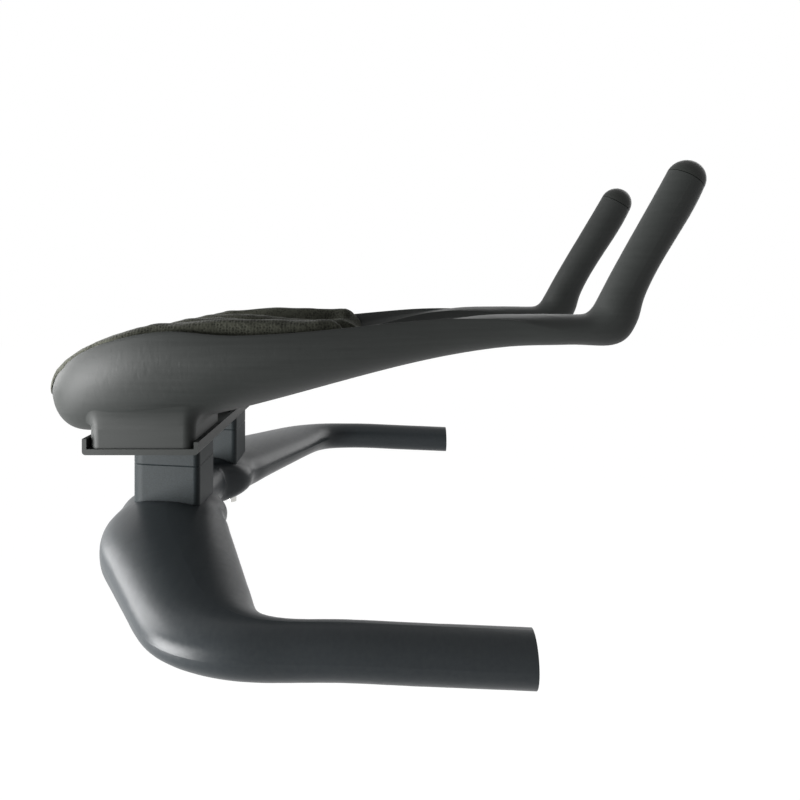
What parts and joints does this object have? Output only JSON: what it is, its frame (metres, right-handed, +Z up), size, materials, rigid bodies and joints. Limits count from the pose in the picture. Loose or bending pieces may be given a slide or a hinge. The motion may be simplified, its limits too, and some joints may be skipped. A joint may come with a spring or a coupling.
{
  "type": "time trial handlebar",
  "caption": "Low handlebar for time trial cycling: swept wing base bar with forward horns, riser blocks, a cross bridge and padded forearm scoops that run into upright grips.",
  "frame": {"origin": "centre of the round stem clamp zone, on the bar's mid-plane", "axes": "+X forwards, +Y to the rider's left along the clamp axis, +Z up"},
  "size_m": [0.3736, 0.4226, 0.2303],
  "materials": {
    "carbon": "satin carbon fibre moulding",
    "spacer": "satin black composite",
    "bridge": "satin black carbon plate",
    "steel": "bright stainless steel",
    "cap": "matte black rubber",
    "pad": "dark woven cover over foam",
    "hook_loop": "black hook-and-loop"
  },
  "bodies": {
    "root": {"base_bar": "carbon", "left_thick_spacer": "spacer", "right_thick_spacer": "spacer", "left_thin_spacer": "spacer", "right_thin_spacer": "spacer", "cross_bridge": "bridge", "riser_bolts": "steel", "riser_bolt_washers": "steel", "left_nut_plate": "steel", "right_nut_plate": "steel", "extension_screws": "steel", "extension_inserts": "steel", "left_extension": "carbon", "right_extension": "carbon", "left_grip_cap": "cap", "right_grip_cap": "cap", "left_pad_fastener": "hook_loop", "right_pad_fastener": "hook_loop", "left_arm_pad": "pad", "right_arm_pad": "pad"}
  },
  "joints": []
}
